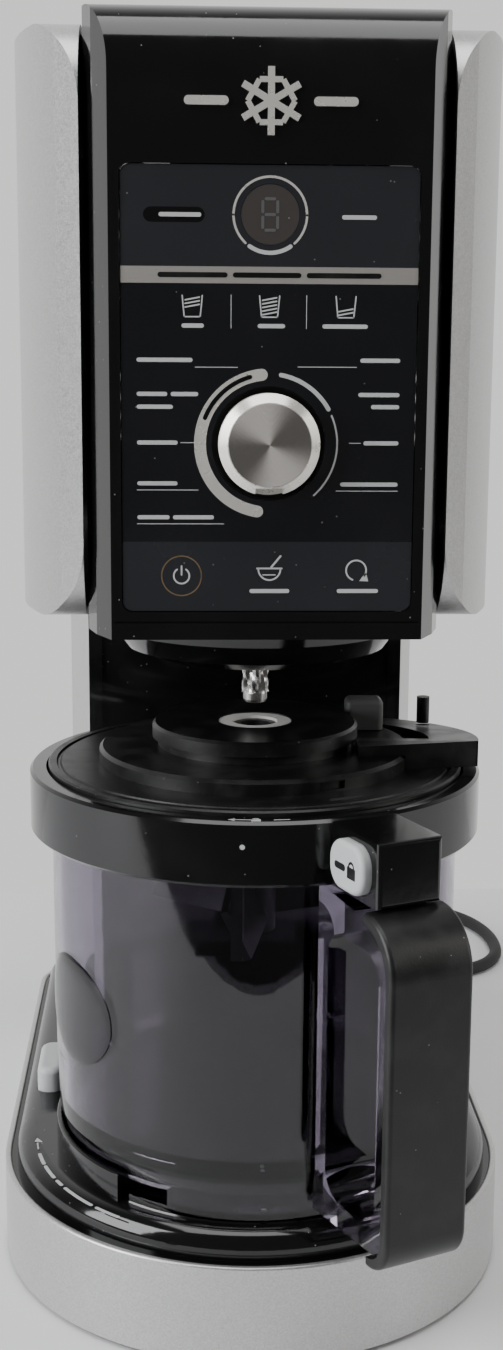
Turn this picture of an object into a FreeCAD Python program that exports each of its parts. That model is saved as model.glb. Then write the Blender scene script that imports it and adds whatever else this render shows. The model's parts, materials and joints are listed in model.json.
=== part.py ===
"""Countertop ice cream maker with a lift-and-twist bowl, a lid with a paddle, and a motor head.

Millimetres, +Z up, front of the machine towards -Y. Shapes are drawn about the spindle axis and
moved by SPINDLE_Y at the end, so the origin is the middle of the machine's footprint on the worktop.
"""
import FreeCAD, Part
import math
import os

V = FreeCAD.Vector

# ---------------------------------------------------------------- driving dimensions
SPINDLE_Y = -42.0          # spindle axis, measured from the middle of the footprint
WALL = 2.5                 # moulded wall thickness
GAP = 0.3                  # clearance between pieces that move past each other
RUN = 0.05                 # radial clearance of a running fit

BASE_HALF_W = 93.0         # half width of the base
BASE_FRONT_Y = 11.4        # centre of the base's round front
BASE_BACK_Y = 203.0
BASE_BACK_R = 24.0
BAND_LOW, BAND_TOP = 1.7, 36.3
DECK_TOP = 46.0
WELL_R = 70.4              # round well that the turntable rises out of

BOWL_R = 72.5
BOWL_TOP = 182.0
BOWL_FLOOR = 62.5
SKIRT_R = 69.6
SKIRT_LOW = 46.3
COLLAR_R = 80.1
COLLAR_LOW, COLLAR_TOP = 166.3, 188.1

LID_R = 73.6
LID_TOP = 189.8
TIER_R, TIER_TOP = 55.5, 195.0
CAP_R, CAP_TOP = 36.6, 203.3
LID_HOUSING_R, LID_HOUSING_TOP = 79.5, 199.0
HOUSING_FALL = 0.11        # the housing's top drops towards the back
PEG_X, PEG_Y = 65.5, 34.0
HUB_R = 8.0
SOCKET_R = 5.3

DIAL_PRESS = 1.2           # travel of the dial as a button
PEG_PRESS = 3.0            # travel of the interlock peg

HANDLE_AZ = -66.6          # direction of the handle seen from above
HANDLE_OUT = 122.8         # outer face of the grip from the spindle axis
GRIP_HALF = 14.6
GRIP_HIGH, GRIP_LOW = 165.9, 51.6
GRIP_TOP_R, GRIP_TIP_R = 17.9, 12.0
LOCK_OUT, LOCK_HALF = 108.3, 11.35
LOCK_LOW, LOCK_TOP = 166.8, 187.6

HEAD_FRONT = -73.7
HEAD_LOW, HEAD_TOP = 245.0, 434.0
HEAD_HALF = 56.0           # central black casing
FRONT_HALF = 48.0          # flat part of the front
HEAD_BACK = 176.0
TOWER_FRONT = 83.0
TOWER_HALF = 63.0
REAR_BACK = 196.0
PANEL_HALF = 44.4          # control panel
PANEL_LOW, PANEL_TOP = 254.0, 386.6
STRIPE_LOW, STRIPE_TOP = 352.5, 357.5
DISPLAY_Z, DISPLAY_R = 372.5, 8.7
BADGE_Z = 404.5
DIAL_Z, DIAL_R, DIAL_FACE_R, DIAL_WELL_R = 305.2, 15.3, 12.6, 17.3

SPINDLE_R, SPINDLE_TIP = 4.9, 210.2
PLATE_Z = 345.0            # underside of the moving motor plate
ROD_X, ROD_Y, ROD_R = 44.0, 30.0, 4.0
SCREW_Y, SCREW_R = 132.0, 4.0
MOTOR_R = 30.0
PINION_TEETH, GEAR_TEETH, MODULE = 20, 60, 1.55

CORD_R = 3.3
CORD_FLOOR = 3.5           # height of the cord's centre line on the worktop
COIL_X, COIL_Y, COIL_R = -18.0, 300.0, 38.0
COIL_TURNS = 2.25

NODES = {}


# ---------------------------------------------------------------- drawing helpers
def path(points, closed=True):
    """A wire through points; a pair (mid, end) draws an arc."""
    start = points[0]
    edges = []
    here = start
    for item in points[1:]:
        if isinstance(item, tuple):
            mid, end = item
            edges.append(Part.Arc(here, mid, end).toShape())
            here = end
        else:
            edges.append(Part.LineSegment(here, item).toShape())
            here = item
    if closed and (here - start).Length > 1e-6:
        edges.append(Part.LineSegment(here, start).toShape())
    return Part.Wire(edges)


def prism(points, low, high):
    """A plan outline extruded from low to high."""
    flat = [tuple(V(*q) for q in p) if isinstance(p[0], tuple) else V(*p) for p in points]
    face = Part.Face(path(flat))
    face.translate(V(0, 0, low))
    return face.extrude(V(0, 0, high - low))


def turned(profile):
    """A profile of (radius, height) points turned about the spindle axis."""
    face = Part.Face(path([V(r, 0, z) for r, z in profile]))
    return face.revolve(V(0, 0, 0), V(0, 0, 1), 360)


def box(x0, x1, y0, y1, z0, z1):
    return Part.makeBox(x1 - x0, y1 - y0, z1 - z0, V(x0, y0, z0))


def rod(r, low, high, x=0.0, y=0.0):
    return Part.makeCylinder(r, high - low, V(x, y, low))


def ring(r_in, r_out, low, high, x=0.0, y=0.0):
    return rod(r_out, low, high, x, y).cut(rod(r_in, low - 1, high + 1, x, y))


def rod_y(r, y0, y1, x=0.0, z=0.0):
    return Part.makeCylinder(r, y1 - y0, V(x, y0, z), V(0, 1, 0))


def polar(r, az, z=0.0):
    a = math.radians(az)
    return V(r * math.cos(a), r * math.sin(a), z)


def sector(r_in, r_out, az0, az1, low, high):
    """Part of a ring between two directions."""
    mid = (az0 + az1) / 2
    wire = path([polar(r_in, az0), polar(r_out, az0), (polar(r_out, mid), polar(r_out, az1)),
                 polar(r_in, az1), (polar(r_in, mid), polar(r_in, az0))])
    face = Part.Face(wire)
    face.translate(V(0, 0, low))
    return face.extrude(V(0, 0, high - low))


def rounded_slab(u0, u1, v0, v1, r, depth, origin, u_dir, v_dir):
    """A rounded rectangle in the plane of u_dir and v_dir, extruded by depth along u x v."""
    def at(u, v):
        return origin + u_dir * u + v_dir * v
    k = r * (1 - math.sqrt(0.5))
    wire = path([
        at(u0 + r, v0), at(u1 - r, v0), (at(u1 - k, v0 + k), at(u1, v0 + r)),
        at(u1, v1 - r), (at(u1 - k, v1 - k), at(u1 - r, v1)),
        at(u0 + r, v1), (at(u0 + k, v1 - k), at(u0, v1 - r)),
        at(u0, v0 + r), (at(u0 + k, v0 + k), at(u0 + r, v0))])
    return Part.Face(wire).extrude(u_dir.cross(v_dir) * depth)


def front_plate(x0, x1, z0, z1, r, y0, y1):
    """A rounded plate that faces the front, from y0 (front) to y1 (back)."""
    return rounded_slab(x0, x1, z0, z1, r, -(y1 - y0), V(0, y0, 0), V(1, 0, 0), V(0, 0, 1))


def rounded(shape, r, test):
    """Rounds the edges whose middle point passes the test."""
    edges = [e for e in shape.Edges if test(e.valueAt((e.FirstParameter + e.LastParameter) / 2), e)]
    return shape.makeFillet(r, edges)


def to_handle(shape):
    """Turns a shape drawn with the handle along +X to where the handle points."""
    shape.rotate(V(0, 0, 0), V(0, 0, 1), HANDLE_AZ)
    return shape


def add(name, *shapes):
    solids = [s for shape in shapes for s in shape.Solids]
    NODES[name] = solids[0] if len(solids) == 1 else Part.makeCompound(solids)


# ---------------------------------------------------------------- base
def base_outline(inset, low, high):
    """The base's plan: round front, straight sides, round rear corners."""
    w, r = BASE_HALF_W - inset, BASE_BACK_R - inset
    back = BASE_BACK_Y - inset
    k = r * math.sqrt(0.5)
    cx, cy = w - r, back - r
    return prism([(-w, BASE_FRONT_Y, 0), ((0, BASE_FRONT_Y - w, 0), (w, BASE_FRONT_Y, 0)),
                  (w, cy, 0), ((cx + k, cy + k, 0), (cx, back, 0)),
                  (-cx, back, 0), ((-cx - k, cy + k, 0), (-w, cy, 0))], low, high)


SCREW_SPOTS = [(-78, 40), (78, 40), (-78, 120), (78, 120), (-40, 186), (30, 186)]
REAR_SCREW_SPOTS = [(x, z) for x in (-52, 52) for z in (70, 240, 412)]


def screw(x, y, grow=0.0):
    """A pan-head screw that enters the base plate from below."""
    low = 0.9 if grow == 0 else 0.0
    return rod(3.2 + grow, low, 2.6, x, y).fuse(rod(1.5 + grow, 2.6, 6.5, x, y))


FOOT_SPOTS = [(-62, -14), (62, -14), (-66, 165), (66, 165), (0, -60)]
POST_R, POST_TOP = 17.0, 35.0


def make_base():
    plate = base_outline(1.4, 0.8, 4.0)
    for x, y in FOOT_SPOTS:
        plate = plate.cut(rod(9.5, 0, 2.0, x, y))
    plate = plate.cut(Part.makeCompound([screw(x, y, 0.1) for x, y in SCREW_SPOTS]))
    add("base_plate", plate)
    add("feet", *[rod(9.4, 0.0, 2.0, x, y) for x, y in FOOT_SPOTS])

    band = base_outline(0, BAND_LOW, BAND_TOP).cut(base_outline(2.4, 0, 40))
    band = band.cut(base_outline(1.35, 0, 4.1))
    band = rounded(band, 0.9, lambda p, e: abs(p.z - BAND_TOP) < 0.01)
    add("base_band", band)

    lip = base_outline(2.45, 4.05, BAND_TOP - 0.9)
    dome = base_outline(4.6, 4.05, DECK_TOP)
    dome = rounded(dome, 7.5, lambda p, e: abs(p.z - DECK_TOP) < 0.01)
    deck = lip.fuse(dome).removeSplitter()
    deck = deck.cut(base_outline(7.0, 0, 31.0)).cut(base_outline(16.0, 0, DECK_TOP - 3.0))
    deck = deck.cut(rod(WELL_R, 0, 60))
    deck = deck.cut(release_button_shape(GAP))
    deck = deck.cut(rod_y(5.2, 190, 210, CORD_EXIT_X, CORD_EXIT_Z))
    add("base_deck", deck)

    guard_wall = sector(WELL_R, WELL_R + 2.2, -38, 228, DECK_TOP, 56.5)
    add("bowl_guard", rounded(guard_wall, 0.8, lambda p, e: p.z > 56.4))
    post = rod(POST_R - RUN, 4.05, POST_TOP).cut(rod(12, 4, 31))
    add("lift_post", post)
    add("power_board", box(-40, 30, 120, 180, 12, 13.6),
        *[rod(2.4, 4.05, 12, x, y) for x in (-36, 26) for y in (124, 176)],
        rod(9, 13.6, 38, -25, 150), box(-8, 22, 132, 160, 13.6, 30))


BUTTON_X, BUTTON_Y0, BUTTON_Y1 = -78.2, 34.0, 62.0


def release_button_shape(grow=0.0):
    """The rounded bar that unlocks the turntable."""
    half = 4.9 + grow
    y0, y1 = BUTTON_Y0 - grow, BUTTON_Y1 + grow
    low = 37.0 if grow == 0 else 30.0
    return rounded_slab(BUTTON_X - half, BUTTON_X + half, y0, y1, half - 0.3, 55.5 - low,
                        V(0, 0, low), V(1, 0, 0), V(0, 1, 0))


def make_release_button():
    button = release_button_shape()
    button = rounded(button, 2.4, lambda p, e: p.z > 55.4)
    add("release_button", button)


# ---------------------------------------------------------------- turntable and its lift
def make_turntable():
    spigot_r = 8.0
    tube = ring(POST_R, POST_R + 3, 5.0, 36.0)
    flange = rod(30, 36.0, 39.7).fuse(rod(spigot_r, 39.7, 43.0))
    add("lift_carrier", tube.fuse(flange).removeSplitter())

    disc_r = SKIRT_R + 0.3
    disc = turned([(0, 44.2), (spigot_r + 0.06, 44.2), (spigot_r + 0.06, 40.0), (disc_r - 3, 40.0),
                   (disc_r - 3, 14.0), (disc_r, 14.0), (disc_r, 45.4), (disc_r - 0.6, SKIRT_LOW),
                   (0, SKIRT_LOW)])
    lugs = [sector(60.0, 65.8, az - 9, az + 9, SKIRT_LOW - 0.5, 50.6) for az in (0, 90, 180, 270)]
    for lug in lugs:
        disc = disc.fuse(lug)
    add("turntable", disc.removeSplitter())
    dot = rod(0.9, SKIRT_LOW - 0.9, SKIRT_LOW - 0.35, 0, 0)
    dot.translate(V(0.8, -(disc_r - 0.25), 0))
    NODES["turntable"] = NODES["turntable"].cut(dot).Solids[0]


# ---------------------------------------------------------------- bowl and handle
def make_bowl():
    shell = turned([
        (SKIRT_R, SKIRT_LOW), (SKIRT_R, 56.0), (70.0, 57.5), (71.3, 62.5), (72.1, 85.0),
        (BOWL_R, 140.0), (BOWL_R, BOWL_TOP), (69.9, BOWL_TOP), (69.9, 140.0), (69.3, 85.0),
        (68.6, 68.0), (66.5, 64.0), (63.0, BOWL_FLOOR), (0, BOWL_FLOOR), (0, 59.6),
        (66.4, 59.6), (66.4, SKIRT_LOW)])
    for az in (-128, -38, 52, 142):
        shell = shell.cut(sector(60, 75, az - 11, az + 11, 49.0, 54.5))
    add("bowl_shell", shell)

    collar = turned([
        (BOWL_R + 0.05, COLLAR_LOW), (COLLAR_R - 1.2, COLLAR_LOW), (COLLAR_R, COLLAR_LOW + 1.2),
        (COLLAR_R, COLLAR_TOP - 1.0), (COLLAR_R - 1.0, COLLAR_TOP), (LID_R + 0.8, COLLAR_TOP),
        (LID_R + 0.8, BOWL_TOP + 0.9), (BOWL_R + 0.05, BOWL_TOP + 0.9)])
    add("bowl_collar", collar)


def handle_section(points, half):
    """A side outline of the handle, (radius, height) points, with the handle's width."""
    flat = [tuple(V(q[0], 0, q[1]) for q in p) if isinstance(p[0], tuple) else V(p[0], 0, p[1])
            for p in points]
    face = Part.Face(path(flat))
    face.translate(V(0, -half, 0))
    return face.extrude(V(0, 2 * half, 0))


def grip_outline(inset):
    """Outer line of the handle, from under the lock housing down to the lower tip."""
    corners = []
    for r, low, turn in ((GRIP_TOP_R, GRIP_HIGH - GRIP_TOP_R, 1), (GRIP_TIP_R, GRIP_LOW + GRIP_TIP_R, -1)):
        cx, reach = HANDLE_OUT - r, r - inset
        slant = reach * math.sqrt(0.5)
        corners.append(((cx, low + turn * reach), (cx + slant, low + turn * slant), (cx + reach, low)))
    (top, top_mid, upper), (tip, tip_mid, lower) = corners
    return [top, (top_mid, upper), lower, (tip_mid, tip)]


def make_handle():
    outer = grip_outline(0)
    inner = grip_outline(3.6)
    back = [inner[3][1], (inner[3][0], inner[2]), inner[1][1], (inner[1][0], inner[0])]
    grip = handle_section(outer + back, GRIP_HALF)
    add("handle_grip", to_handle(rounded(
        grip, 1.6, lambda p, e: abs(abs(p.y) - GRIP_HALF) < 0.01 and abs(p.x - HANDLE_OUT) < 0.01)))

    rim = grip_outline(3.65)
    outline = [(BOWL_R + 0.3, 165.9)] + rim + [(BOWL_R - 1.6, 51.8), (BOWL_R - 1.6, 57.0),
                                              (BOWL_R + 0.3, 66.0)]
    frame = handle_section(outline, GRIP_HALF - 2.2)
    window = rounded_slab(79.5, 111.5, 62.0, 153.0, 9.0, -40, V(0, 20, 0), V(1, 0, 0), V(0, 0, 1))
    if window.BoundBox.YMin > -15:
        window.translate(V(0, -40, 0))
    frame = frame.cut(window).cut(rod(BOWL_R + 0.05, 56.5, 170)).cut(rod(SKIRT_R + 0.05, 40, 57))
    frame = frame.cut(turned([(0, 56), (SKIRT_R + 0.1, 56), (71.4, 62.5), (72.4, 86), (0, 86)]))
    frame = frame.cut(box(-20, 60, -30, 30, 40, 170))
    add("handle_frame", to_handle(max(frame.Solids, key=lambda s: s.Volume)))

    block = box(70, LOCK_OUT, -LOCK_HALF, LOCK_HALF, LOCK_LOW, LOCK_TOP)
    block = rounded(block, 1.5, lambda p, e: p.x > 100 and e.Length > 15)
    block = block.cut(rod(COLLAR_R + 0.05, 160, 190))
    block = block.cut(lid_button_shape(GAP))
    add("lock_housing", to_handle(block))


LID_BUTTON = dict(r0=83.0, r1=104.0, low=168.9, high=184.9)


def lid_button_shape(grow=0.0):
    """The pill-shaped key in the left side of the lock housing."""
    b = LID_BUTTON
    depth = 6.2 if grow == 0 else 12.0
    y_out = -LOCK_HALF - 3.4 if grow == 0 else -LOCK_HALF - 4.0
    key = rounded_slab(b["r0"] - grow, b["r1"] + grow, b["low"] - grow, b["high"] + grow,
                       7.0, depth, V(0, 0, 0), V(1, 0, 0), V(0, 0, 1))
    key.translate(V(0, y_out - key.BoundBox.YMin, 0))
    return key


def make_lid_button():
    key = lid_button_shape()
    key = rounded(key, 1.6, lambda p, e: abs(p.y - key.BoundBox.YMin) < 0.01)
    add("lid_button", to_handle(key))


# ---------------------------------------------------------------- lid, latch and paddle
def make_lid():
    under = LID_TOP - 6.4
    disc = turned([
        (34.2, TIER_TOP - 2.5), (34.2, TIER_TOP), (TIER_R - 1.2, TIER_TOP), (TIER_R, TIER_TOP - 1.2),
        (TIER_R, LID_TOP), (68.9, LID_TOP), (69.4, LID_TOP - 0.7), (70.2, LID_TOP - 0.7),
        (70.7, LID_TOP), (LID_R - 0.6, LID_TOP), (LID_R, LID_TOP - 0.6), (LID_R, under),
        (68.6, under), (68.6, 181.0), (67.6, 181.0), (67.6, 177.0), (68.6, 177.0), (68.6, 175.0),
        (65.4, 175.0), (65.4, LID_TOP - 2.6), (53.0, LID_TOP - 2.6), (53.0, TIER_TOP - 2.5)])
    slot = sector(TIER_R - 1.5, TIER_R + 1, -70, -60, 190.6, 193.4)
    add("lid_disc", disc.cut(slot))
    add("lid_seal", ring(67.65, 69.5, 177.1, 180.9))

    cap = turned([
        (13.3, 200.4), (13.3, CAP_TOP), (CAP_R - 1.0, CAP_TOP), (CAP_R, CAP_TOP - 1.0),
        (CAP_R, 198.2), (34.6, 198.2), (34.6, 195.05), (33.9, 195.05), (33.9, 190.0),
        (31.0, 190.0), (31.0, 197.0), (14.5, 197.0), (14.5, 194.0), (11.0, 194.0),
        (11.0, 191.5), (17.0, 191.5), (17.0, 196.9), (17.0, 200.4)])
    add("lid_cap", cap)
    add("hub_bushing", ring(HUB_R + RUN, 13.0, 194.3, 203.0))

    low = LID_TOP + 0.05
    slope = math.atan(HOUSING_FALL)
    above = box(-120, 120, -200, 200, 0, 40)
    above.rotate(V(0, 0, 0), V(1, 0, 0), -math.degrees(slope))
    above.translate(V(0, -16.0, LID_HOUSING_TOP))
    body = sector(37.2, LID_HOUSING_R, -12, 62, low, LID_HOUSING_TOP)
    front = prism([(34.5, -24.5, 0), (77.0, -16.5, 0), (76.5, 2, 0), (36.0, 2, 0)],
                  low, LID_HOUSING_TOP)
    tail = sector(66.0, LID_HOUSING_R, 61, 75, low, LID_HOUSING_TOP)
    body = body.fuse(front).fuse(tail).common(rod(LID_HOUSING_R, 180, 210))
    body = body.cut(rod(TIER_R + 0.05, 180, TIER_TOP + 0.05)).cut(rod(CAP_R + 0.4, 180, 210))
    pocket = sector(30, 62.0, -9, 55, 191.5, 202)
    body = body.cut(pocket).cut(rod(TIER_R + 0.05, 180, TIER_TOP + 0.05))
    body = body.cut(above)
    peg_low = 194.6
    body = body.cut(rod(2.4 + GAP, peg_low - PEG_PRESS - GAP, 202, PEG_X, PEG_Y)).removeSplitter()
    body = max(body.Solids, key=lambda s: s.Volume)
    add("latch_housing", body)
    add("interlock_peg", rod(2.4, peg_low, 204.5, PEG_X, PEG_Y))




def make_latch():
    """The grey thumb tab on the lid that frees the paddle."""
    stem = box(34.6, 48.4, 17.5, 27.5, 195.3, 206.8)
    stem = rounded(stem, 2.2, lambda p, e: p.z > 206.7 or abs(p.z - 201) < 0.3)
    add("paddle_latch", stem)


def make_paddle():
    socket_low = 181.0
    hub = rod(HUB_R, 126.0, 202.0).cut(rod(SOCKET_R, socket_low, 203))
    blade = None
    for k in range(3):
        root = path([V(5.0, -7.0, 152), V(5.0, -3.5, 153.5), V(5.0, 6.0, 131), V(5.0, 2.5, 129.5)])
        tip = path([V(45.0, -5.5, 146), V(45.0, -3.2, 147), V(45.0, 5.0, 130.2), V(45.0, 2.7, 129.2)])
        wing = Part.makeLoft([root, tip], True, True)
        fin = box(41.0, 45.0, -2.0, 2.0, 129.2, 160.0)
        blade = wing.fuse(fin)
        blade.rotate(V(0, 0, 0), V(0, 0, 1), 120 * k + 20)
        hub = hub.fuse(blade)
    add("paddle", hub.removeSplitter())


# ---------------------------------------------------------------- tower
def make_tower():
    low, high = DECK_TOP + 0.05, HEAD_LOW - 0.05
    front = prism([(-TOWER_HALF, TOWER_FRONT, 0), (TOWER_HALF, TOWER_FRONT, 0),
                   (TOWER_HALF, TOWER_FRONT + 5, 0), (TOWER_HALF - 2.5, TOWER_FRONT + 5, 0),
                   (TOWER_HALF - 2.5, TOWER_FRONT + WALL, 0),
                   (-TOWER_HALF + 2.5, TOWER_FRONT + WALL, 0),
                   (-TOWER_HALF + 2.5, TOWER_FRONT + 5, 0), (-TOWER_HALF, TOWER_FRONT + 5, 0)],
                  low, high)
    inset_panel = box(-TOWER_HALF + 5, TOWER_HALF - 5, TOWER_FRONT - 1, TOWER_FRONT + 1.2,
                      low + 4, high + 1)
    add("tower_front", front.cut(inset_panel))

    def strip(side):
        pts = [(63.3, 84.0), (72.8, 125.0), (75.6, HEAD_BACK), (73.0, HEAD_BACK), (70.2, 126.0),
               (63.3, 96.0)]
        return prism([(side * x, y, 0) for x, y in pts], low, high)
    add("tower_strips", strip(-1), strip(1))


def rear_plan(inset, low, high):
    w, r, back = 75.6 - inset, 18.0 - inset, REAR_BACK - inset
    k = r * math.sqrt(0.5)
    return prism([(-w, HEAD_BACK + 0.1, 0), (w, HEAD_BACK + 0.1, 0), (w, back - r, 0),
                  ((w - r + k, back - r + k, 0), (w - r, back, 0)), (-w + r, back, 0),
                  ((-w + r - k, back - r + k, 0), (-w, back - r, 0))], low, high)


def make_rear_cover():
    cover = rear_plan(0, DECK_TOP + 0.05, HEAD_TOP - 3)
    cover = rounded(cover, 10.0, lambda p, e: p.z > HEAD_TOP - 4 and p.y > HEAD_BACK + 5)
    inner = rear_plan(WALL, DECK_TOP, HEAD_TOP - 3 - WALL)
    inner.translate(V(0, -1.0, 0))
    cover = cover.cut(inner)
    for row in range(12):
        z = 292 + row * 9
        cover = cover.cut(box(-42, 42, 185, 200, z, z + 3.2))
    add("rear_cover", cover)
    rear = [rod_y(3.0, REAR_BACK, REAR_BACK + 1.4, x, z) for x, z in REAR_SCREW_SPOTS]
    add("case_screws", *[screw(x, y) for x, y in SCREW_SPOTS], *rear)


# ---------------------------------------------------------------- head casing
def make_head():
    plan = [(-FRONT_HALF, HEAD_FRONT, 0), (FRONT_HALF, HEAD_FRONT, 0), (53.0, -63.0, 0),
            (HEAD_HALF, -52.0, 0), (HEAD_HALF, HEAD_BACK, 0), (-HEAD_HALF, HEAD_BACK, 0),
            (-HEAD_HALF, -52.0, 0), (-53.0, -63.0, 0)]
    shell = prism(plan, HEAD_LOW, HEAD_TOP)
    shell = rounded(shell, 20.0, lambda p, e: p.z > HEAD_TOP - 1 and p.y < HEAD_FRONT + 0.1)
    cavity = [(-46.8, -71.2, 0), (46.8, -71.2, 0), (50.8, -62.0, 0), (53.5, -51.0, 0),
              (53.5, HEAD_BACK + 1, 0), (-53.5, HEAD_BACK + 1, 0), (-53.5, -51.0, 0),
              (-50.8, -62.0, 0)]
    inside = prism(cavity, HEAD_LOW + WALL, HEAD_TOP - WALL)
    inside = rounded(inside, 18.0,
                     lambda p, e: p.z > HEAD_TOP - WALL - 1 and p.y < HEAD_FRONT + 3)
    shell = shell.cut(inside)
    shell = shell.cut(front_plate(-PANEL_HALF - 0.25, PANEL_HALF + 0.25, PANEL_LOW - 0.25,
                                  PANEL_TOP + 0.25, 3.2, HEAD_FRONT - 5, HEAD_FRONT + 5))
    shell = shell.cut(rod(47.0, HEAD_LOW - 1, HEAD_LOW + WALL + 1))
    shell = shell.cut(box(-53.5, 53.5, TOWER_FRONT + 6, HEAD_BACK + 1, HEAD_LOW - 1, HEAD_LOW + 3))
    seam = box(-47, 47, HEAD_FRONT - 1, HEAD_FRONT + 0.7, 250.2, 250.8)
    add("head_shell", shell.cut(seam))

    drum = turned([
        (SPINDLE_R + 1.0, 228.3), (36.7, 228.3), (45.5, 231.6), (50.0, 238.0), (53.0, 244.9),
        (46.8, 244.9), (44.0, 238.8), (41.5, 234.4), (35.0, 231.3), (SPINDLE_R + 1.0, 231.3)])
    flange = ring(42.0, 46.8, 243.0, 251.0)
    add("spindle_drum", drum.fuse(flange).removeSplitter())


def side_panel(side):
    """One silver cheek: a tray that bows outwards, with round corners seen from the side."""
    def outer_plan(inset, start):
        return [(side * 57.1, -59.7 + start, 0), (side * (64.8 - inset), -49.7 + inset, 0),
                ((side * (76.2 - inset), -24.0 + inset, 0), (side * (81.4 - inset), 12.0, 0)),
                (side * (81.4 - inset), 108.0, 0),
                ((side * (79.4 - inset), 145.0, 0), (side * (75.6 - inset), HEAD_BACK - start, 0)),
                (side * 57.1, HEAD_BACK - start, 0)]
    solid = prism(outer_plan(0, 0), 247.0, 431.6)
    r = 26.0
    silhouette = rounded_slab(-59.7, HEAD_BACK, 247.0, 431.6, r, 200, V(-100, 0, 0),
                              V(0, 1, 0), V(0, 0, 1))
    solid = solid.common(silhouette)
    hollow = prism(outer_plan(WALL, 4.0), 247.0 + WALL, 431.6 - WALL)
    inner = rounded_slab(-59.7 + WALL, HEAD_BACK - WALL, 247.0 + WALL, 431.6 - WALL, r - WALL,
                         200, V(-100, 0, 0), V(0, 1, 0), V(0, 0, 1))
    return solid.cut(hollow.common(inner))


def make_cheeks():
    add("side_panel_left", side_panel(-1))
    add("side_panel_right", side_panel(1))


# ---------------------------------------------------------------- control panel
def make_control_panel():
    front, back = HEAD_FRONT + 0.35, HEAD_FRONT + 2.4
    panel = front_plate(-PANEL_HALF, PANEL_HALF, PANEL_LOW, PANEL_TOP, 3.0, front, back)
    panel = panel.cut(rod_y(DIAL_WELL_R, front - 1, back + 1, 0, DIAL_Z))
    panel = panel.cut(rod_y(DISPLAY_R + 0.1, front - 1, back + 1, 0, DISPLAY_Z))
    panel = panel.cut(box(-PANEL_HALF - 1, PANEL_HALF + 1, front - 1, front + 0.6,
                          STRIPE_LOW, STRIPE_TOP))
    add("control_panel", panel)
    add("panel_stripe", box(-PANEL_HALF, PANEL_HALF, front - 0.1, front + 0.55,
                            STRIPE_LOW + 0.05, STRIPE_TOP - 0.05))
    add("display_window", rod_y(DISPLAY_R, front + 0.1, back, 0, DISPLAY_Z))
    well = rod_y(DIAL_WELL_R + 1.5, back + 0.05, back + 4.0, 0, DIAL_Z)
    well = well.cut(rod_y(DIAL_WELL_R - 0.4, back, back + 2.6, 0, DIAL_Z))
    well = well.cut(rod_y(3.4, back, back + 5, 0, DIAL_Z))
    add("dial_well", well)

    knob = rod_y(DIAL_R, front - 5.6, front + 1.6, 0, DIAL_Z)
    bevel = Part.makeCone(DIAL_R, DIAL_FACE_R, 2.6, V(0, front - 5.6, DIAL_Z), V(0, -1, 0))
    knob = knob.fuse(bevel).removeSplitter()
    knob = knob.cut(rod_y(3.0 + RUN, front - 5, front + 2, 0, DIAL_Z))
    knob = knob.cut(box(-4.2, 4.2, front - 9, front - 1.0, DIAL_Z - DIAL_R - 1,
                        DIAL_Z - DIAL_R + 2.4))
    add("dial_knob", knob)
    add("dial_face", rod_y(DIAL_FACE_R - 0.3, front - 8.8, front - 8.2, 0, DIAL_Z))
    add("encoder_shaft", rod_y(3.0, front - 4.6, back + 8.0, 0, DIAL_Z))
    shaft_end = back + 8.0
    body_y = shaft_end + DIAL_PRESS + GAP
    encoder = box(-7, 7, body_y, back + 15.6, DIAL_Z - 7, DIAL_Z + 7)
    board_y = back + 15.7
    board = box(-42, 42, board_y, board_y + 1.6, 256, 384)
    display = box(-11, 11, back + 0.1, board_y - 0.05, DISPLAY_Z - 9, DISPLAY_Z + 9)
    bush = rod_y(5.5, back + 4.3, body_y, 0, DIAL_Z).cut(
        rod_y(3.0 + RUN, back + 4, body_y, 0, DIAL_Z))
    add("encoder_body", encoder.fuse(bush).removeSplitter())
    add("control_board", board)
    add("display_module", display)

    bars = []
    for k in range(3):
        arm = box(-9.6, 9.6, HEAD_FRONT - 0.9, HEAD_FRONT - 0.02, -1.0, 1.0)
        for side in (-1, 1):
            twig = box(-0.8, 0.8, HEAD_FRONT - 0.9, HEAD_FRONT - 0.02, -3.4, 3.4)
            twig.translate(V(side * 6.0, 0, 0))
            arm = arm.fuse(twig)
        arm.rotate(V(0, 0, 0), V(0, 1, 0), 60 * k + 90)
        bars.append(arm)
    flake = bars[0].fuse(bars[1]).fuse(bars[2]).removeSplitter()
    flake.translate(V(0, 0, BADGE_Z))
    wings = [front_plate(x - 6.5, x + 6.5, BADGE_Z - 1.3, BADGE_Z + 1.3, 1.25,
                         HEAD_FRONT - 0.9, HEAD_FRONT - 0.02) for x in (-19, 19)]
    add("badge", flake, *wings)




# ---------------------------------------------------------------- drive inside the head
def gear(teeth, low, high, bore, x, y, phase):
    """A spur gear: a wavy disc with one lobe per tooth."""
    pitch_r = teeth * MODULE / 2
    pts = []
    for k in range(teeth):
        for part, reach in ((0.0, -1.0), (0.2, -1.0), (0.4, 0.78), (0.6, 0.78), (0.8, -1.0)):
            a = 2 * math.pi * (k + part - 0.5) / teeth + phase
            r = pitch_r + MODULE * reach
            pts.append((r * math.cos(a), r * math.sin(a), 0))
    wheel = prism(pts, low, high).cut(rod(bore, low - 1, high + 1))
    wheel.translate(V(x, y, 0))
    return wheel


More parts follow.
